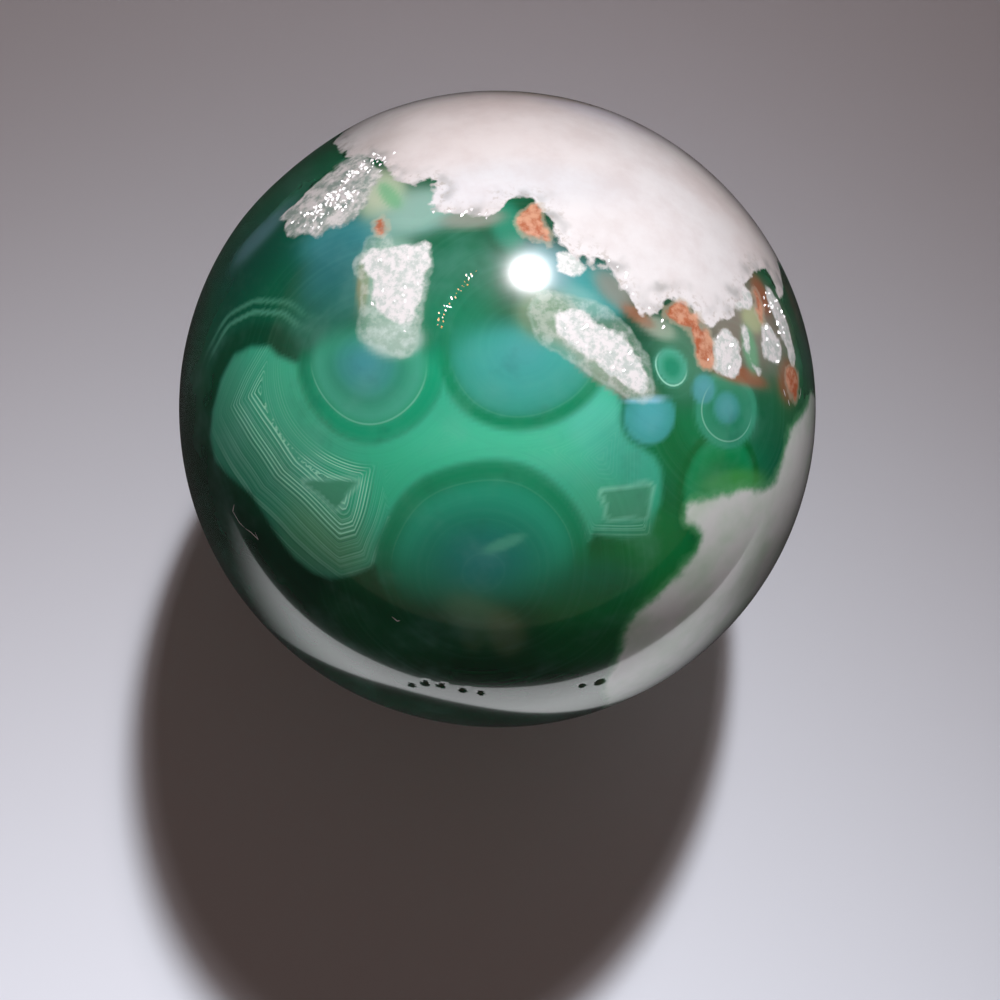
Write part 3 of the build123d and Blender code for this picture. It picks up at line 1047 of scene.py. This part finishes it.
def paper_material(radius, tint):
    """Matt pulp paper: it scatters evenly and has no sheen. For glossy rays it glows instead with a painted
    reflection: a pale crescent in front of the ball, a painted dark oval for the ball's shadow, and dark beyond.
    """
    paper = bpy.data.materials.new("matt_paper")
    paper.use_nodes = True
    tree = paper.node_tree
    tree.nodes.clear()
    place = add(tree, "ShaderNodeTexCoord").node.outputs["Object"]
    matt = add(tree, "ShaderNodeBsdfPrincipled", {"Base Color": (*tint, 1.0), "Roughness": 0.9})
    ray = add(tree, "ShaderNodeLightPath").node.outputs["Is Glossy Ray"]
    # For glossy rays the ball's own shadow on the paper is painted as an oval that runs away from the lamp
    turned = add(
        tree,
        "ShaderNodeMapping",
        {
            "Vector": place,
            "Location": Vector((-6.7, -25.2, 0)) * MM,
            "Rotation": (0, 0, math.radians(75)),
            "Scale": (38 * MM, 23 * MM, 1000),
        },
        vector_type="TEXTURE",
    )
    oval = add(tree, "ShaderNodeVectorMath", {0: turned}, operation="LENGTH").node.outputs["Value"]
    flat = add(tree, "ShaderNodeVectorMath", {0: place, 1: (1, 1, 0)}, operation="MULTIPLY")
    away = add(tree, "ShaderNodeVectorMath", {0: flat}, operation="LENGTH").node.outputs["Value"]
    forward = add(tree, "ShaderNodeVectorMath", {0: place, 1: (0, -1, 0)}, operation="DOT_PRODUCT").node.outputs["Value"]
    shares = [add(tree, "ShaderNodeMapRange", {"Value": value, "From Min": low, "From Max": high}, interpolation_type="SMOOTHSTEP") for value, low, high in ((oval, 0.97, 1.05), (away, 2.97 * radius, 2.91 * radius), (forward, 0.022, 0.062))]
    lit = add(tree, "ShaderNodeMath", {0: shares[0], 1: shares[1]}, operation="MULTIPLY")
    lit = add(tree, "ShaderNodeMath", {0: lit, 1: shares[2]}, operation="MULTIPLY")
    # Painted reflection and painted shadow: glossy rays see a pale crescent where the paper counts as lit, and a
    # near-black oval where the ball's shadow lies
    crescent = add(tree, "ShaderNodeMix", {
        0: lit, 6: (0.02, 0.018, 0.018, 1), 7: (0.95, 0.96, 0.98, 1),
    }, data_type="RGBA")
    # The paper glows with this painted reflection for glossy rays only; the camera sees the matt paper
    seen = add(tree, "ShaderNodeEmission", {"Color": crescent, "Strength": 1.0})
    both = add(tree, "ShaderNodeMixShader", {0: ray, 1: matt, 2: seen})
    add(tree, "ShaderNodeOutputMaterial", {"Surface": both})
    return paper


class AGATE_OT_ball(bpy.types.Operator):
    """Grow the polished ball"""

    bl_idname = "agate.ball"
    bl_label = "Polished Ball"

    def execute(self, context):
        sizes = context.scene.agate_ball
        colours = context.scene.agate_colours
        face = towards(130, 26)
        ball = built_mesh(
            "polished_ball",
            lapped_ball_tree(),
            {
                "Ball Radius": sizes.radius,
                "Face Curvature": sizes.face_curvature,
                "Face Depth": sizes.face_depth,
                "Face Direction": face,
                "Ripple Height": sizes.ripple_height,
                "Points Across": sizes.squares + 1,
                "Stone": stone_material(colours),
            },
        )
        pits = [(towards(-71, 22), sizes.pit_mouth / 2, sizes.pit_depth)]
        small = ((-74.5, 23), (-93.5, 24.5), (-97, 25), (-101, 25.5), (-104, 25), (-106.5, 23))
        pits += [(towards(*angles), sizes.pit_mouth * 0.27, sizes.pit_depth * 0.5) for angles in small]
        sink_pits(ball.data, pits)
        paint_stone(ball.data, colours)
        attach(ball, "root")
        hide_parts(BALL_NODE)
        return {"FINISHED"}


def glint_tree():
    """Geometry nodes that strew small flat crystal faces where a stored amount says so."""
    tree = bpy.data.node_groups.new("Crystal Glints", "GeometryNodeTree")
    for name, kind in (
        ("Ball", "NodeSocketObject"),
        ("Amount", "NodeSocketString"),
        ("Density", "NodeSocketFloat"),
        ("Face Size", "NodeSocketFloat"),
        ("Facing", "NodeSocketVector"),
        ("Seed", "NodeSocketInt"),
        ("Crystal", "NodeSocketMaterial"),
    ):
        tree.interface.new_socket(name=name, in_out="INPUT", socket_type=kind)
    tree.interface.new_socket(name="Geometry", in_out="OUTPUT", socket_type="NodeSocketGeometry")
    given = tree.nodes.new("NodeGroupInput").outputs
    ball = add(tree, "GeometryNodeObjectInfo", {"Object": given["Ball"]}).node.outputs["Geometry"]
    amount = add(tree, "GeometryNodeInputNamedAttribute", {"Name": given["Amount"]}, data_type="FLOAT")
    crowd = add(tree, "ShaderNodeMath", {0: amount, 1: given["Density"]}, operation="MULTIPLY")
    points = add(
        tree, "GeometryNodeDistributePointsOnFaces", {"Mesh": ball, "Density": crowd, "Seed": given["Seed"]}
    )
    face = add(tree, "GeometryNodeMeshCircle", {
        "Vertices": 5, "Radius": given["Face Size"],
    }, fill_type="NGON")
    tilt = add(
        tree,
        "FunctionNodeRandomValue",
        {"Min": (-0.11, -0.11, -0.11), "Max": (0.11, 0.11, 0.11), "Seed": given["Seed"]},
        data_type="FLOAT_VECTOR",
    )
    lean = add(tree, "ShaderNodeVectorMath", {0: given["Facing"], 1: tilt})
    turned = add(tree, "FunctionNodeAlignRotationToVector", {"Vector": lean}, axis="Z")
    spin = add(tree, "FunctionNodeRandomValue", {
        "Min": (0, 0, 0), "Max": (0, 0, 6.28),
    }, data_type="FLOAT_VECTOR")
    spun = add(tree, "FunctionNodeRotateRotation", {
        "Rotation": turned, "Rotate By": spin,
    }, rotation_space="LOCAL")
    size = add(tree, "FunctionNodeRandomValue", {
        "Min": (0.35, 0.3, 1), "Max": (1.3, 0.9, 1),
    }, data_type="FLOAT_VECTOR")
    placed = add(tree, "GeometryNodeInstanceOnPoints", {
        "Points": points, "Instance": face, "Rotation": spun, "Scale": size,
    })
    real = add(tree, "GeometryNodeRealizeInstances", {"Geometry": placed})
    finished = add(tree, "GeometryNodeSetMaterial", {"Geometry": real, "Material": given["Crystal"]})
    add(tree, "NodeGroupOutput", {"Geometry": finished})
    return tree


def crystal_material(name, colour):
    """Quartz druse: tiny natural crystal faces left rough and bright inside the polished stone."""
    crystal = bpy.data.materials.new(name)
    crystal.use_nodes = True
    shader = crystal.node_tree.nodes["Principled BSDF"]
    shader.inputs["Base Color"].default_value = (*colour, 1.0)
    shader.inputs["Roughness"].default_value = 0.16
    shader.inputs["IOR"].default_value = 1.54
    return crystal


class AGATE_OT_glints(bpy.types.Operator):
    """Strew the crystal faces that catch the light"""

    bl_idname = "agate.glints"
    bl_label = "Crystal Glints"

    def execute(self, context):
        ball = bpy.data.objects.get("polished_ball")
        if ball is None:
            raise RuntimeError("grow the polished ball first")
        sizes = context.scene.agate_ball
        # Faces turned half way between the lamp and a viewer above the ball
        facing = (towards(75, 49) + towards(-90, 82)).normalized()
        colours = context.scene.agate_colours
        for name, amount, density, size, colour, seed in (
            ("silver_glints", "silver_glints", sizes.glints, 0.24 * MM, colours.silver, 4),
            ("gold_glints", "gold_glints", sizes.glints * 1.7, 0.13 * MM, colours.gold, 9),
        ):
            tree = glint_tree()
            glints = built_mesh(
                name,
                tree,
                {
                    "Ball": ball,
                    "Amount": amount,
                    "Density": density,
                    "Face Size": size,
                    "Facing": facing,
                    "Seed": seed,
                    "Crystal": crystal_material(name, colour),
                },
            )
            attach(glints, "root")
        return {"FINISHED"}


class AGATE_OT_scratches(bpy.types.Operator):
    """Draw the few fine scratches in the polish"""

    bl_idname = "agate.scratches"
    bl_label = "Scratches"

    def execute(self, context):
        ball = bpy.data.objects.get("polished_ball")
        if ball is None:
            raise RuntimeError("grow the polished ball first")
        shape = bmesh.new()
        shape.from_mesh(ball.data)
        surface = BVHTree.FromBMesh(shape)
        shape.free()
        paths = (
            ((-28.2, -12.6), (-28.7, -13.4), (-27.9, -14.6), (-27.1, -15.2)),
            ((-27.1, -15.2), (-26.2, -15.6), (-25.3, -16.3), (-25.6, -15.5)),
            ((-10.6, -23.7), (-10.1, -24.2), (-9.8, -24.1)),
            ((34.8, 0.3), (34.7, -0.4), (34.3, -1.2)),
            ((30.6, -0.6), (31.0, -1.3)),
            ((31.6, -1.6), (31.9, -2.2)),
        )
        points, faces = [], []
        half = 0.075 * MM
        for path in paths:
            fine = [
                Vector(a).lerp(Vector(b), step / 4) for a, b in zip(path, path[1:]) for step in range(4)
            ] + [Vector(path[-1])]
            for number, (x, y) in enumerate(fine):
                slant = math.hypot(x, y) / 30
                flat = Vector((x, y, 0)).normalized() * math.sin(slant)
                outward = Vector((flat.x, flat.y, math.cos(slant)))
                hit = surface.ray_cast(outward * 0.05, -outward)[0]
                after = fine[min(number + 1, len(fine) - 1)] - fine[max(number - 1, 0)]
                side = Vector((-after.y, after.x, 0)).normalized()
                side -= outward * side.dot(outward)
                taper = half * math.sin(math.pi * (number + 0.6) / (len(fine) + 0.2))
                lifted = hit + outward * 0.012 * MM
                points += [lifted - side * taper, lifted + side * taper]
                if number:
                    last = len(points)
                    faces.append((last - 4, last - 2, last - 1, last - 3))
        mesh = bpy.data.meshes.new("scratches")
        mesh.from_pydata(points, [], faces)
        mesh.materials.append(crystal_material("scratched_quartz", linear("#f4f7f5")[:3]))
        scratches = bpy.data.objects.new("scratches", mesh)
        context.scene.collection.objects.link(scratches)
        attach(scratches, "root")
        return {"FINISHED"}


class AGATE_OT_stage(bpy.types.Operator):
    """Set the floor, the lamp and the camera"""

    bl_idname = "agate.stage"
    bl_label = "Stage"

    def execute(self, context):
        scene = context.scene
        settings = scene.agate_stage
        radius = scene.agate_ball.radius
        scene.view_settings.view_transform = "Standard"
        # camera
        camera_data = bpy.data.cameras.new("camera")
        camera_data.lens = 102.5
        camera_data.clip_start = 0.01
        camera = bpy.data.objects.new("camera", camera_data)
        scene.collection.objects.link(camera)
        rise = settings.view_elevation
        camera.location = Vector((0, -math.cos(rise), math.sin(rise))) * settings.view_distance * radius
        pitch = rise + math.radians(1.81)
        aim = Vector((0.0007, math.cos(pitch), -math.sin(pitch)))
        camera.rotation_euler = aim.to_track_quat("-Z", "Y").to_euler()
        scene.camera = camera
        # floor
        half = 3.0
        mesh = bpy.data.meshes.new("floor")
        z = -radius
        mesh.from_pydata(
            [(-half, -half, z), (half, -half, z), (half, half, z), (-half, half, z)], [], [(0, 1, 2, 3)],
        )
        floor = bpy.data.objects.new("floor", mesh)
        scene.collection.objects.link(floor)
        paper = paper_material(radius, scene.agate_colours.paper)
        mesh.materials.append(paper)
        # lamps: a small bright one and a wider, dimmer, warmer one beside it
        from_direction = towards(75, 49)
        for name, watts, spread, blend, size, colour, aim in (
            ("lamp", settings.lamp_watts, 15.34, 0.4, 0.05, (0.93, 0.95, 1.0), (-0.050, -0.284, -radius)),
            ("room_lamp", settings.room_lamp_watts, 11.5, 1.0, 0.1, (1.0, 0.86, 0.86), (-0.040, -0.087, -radius)),
        ):
            lamp_data = bpy.data.lights.new(name, "SPOT")
            lamp_data.energy = watts
            lamp_data.spot_size = math.radians(spread)
            lamp_data.spot_blend = blend
            lamp_data.shadow_soft_size = size
            lamp_data.color = colour
            lamp = bpy.data.objects.new(name, lamp_data)
            scene.collection.objects.link(lamp)
            lamp.location = from_direction * 1.5
            lamp.rotation_euler = (Vector(aim) - lamp.location).to_track_quat("-Z", "Y").to_euler()
        world = bpy.data.worlds.new("room")
        world.use_nodes = True
        world.node_tree.nodes["Background"].inputs["Color"].default_value = (0.092, 0.061, 0.053, 1)
        world.node_tree.nodes["Background"].inputs["Strength"].default_value = 1.0
        scene.world = world
        return {"FINISHED"}


class AGATE_PT_panel(bpy.types.Panel):
    """Agate tools"""

    bl_idname = "AGATE_PT_panel"
    bl_label = "Flower Agate Sphere"
    bl_space_type = "VIEW_3D"
    bl_region_type = "UI"
    bl_category = "Agate"

    def draw(self, context):
        for operator in OPERATORS:
            self.layout.operator(operator.bl_idname)


OPERATORS = (AGATE_OT_ball, AGATE_OT_glints, AGATE_OT_scratches, AGATE_OT_stage)
CLASSES = (BallSizes, StageSettings, StoneColours, *OPERATORS, AGATE_PT_panel)


def register():
    for item in CLASSES:
        bpy.utils.register_class(item)
    bpy.types.Scene.agate_ball = bpy.props.PointerProperty(type=BallSizes)
    bpy.types.Scene.agate_stage = bpy.props.PointerProperty(type=StageSettings)
    bpy.types.Scene.agate_colours = bpy.props.PointerProperty(type=StoneColours)


def unregister():
    del bpy.types.Scene.agate_colours
    del bpy.types.Scene.agate_stage
    del bpy.types.Scene.agate_ball
    for item in reversed(CLASSES):
        bpy.utils.unregister_class(item)


def main():
    register()
    bpy.ops.agate.ball()
    bpy.ops.agate.glints()
    bpy.ops.agate.scratches()
    bpy.ops.agate.stage()


if __name__ == "__main__":
    main()
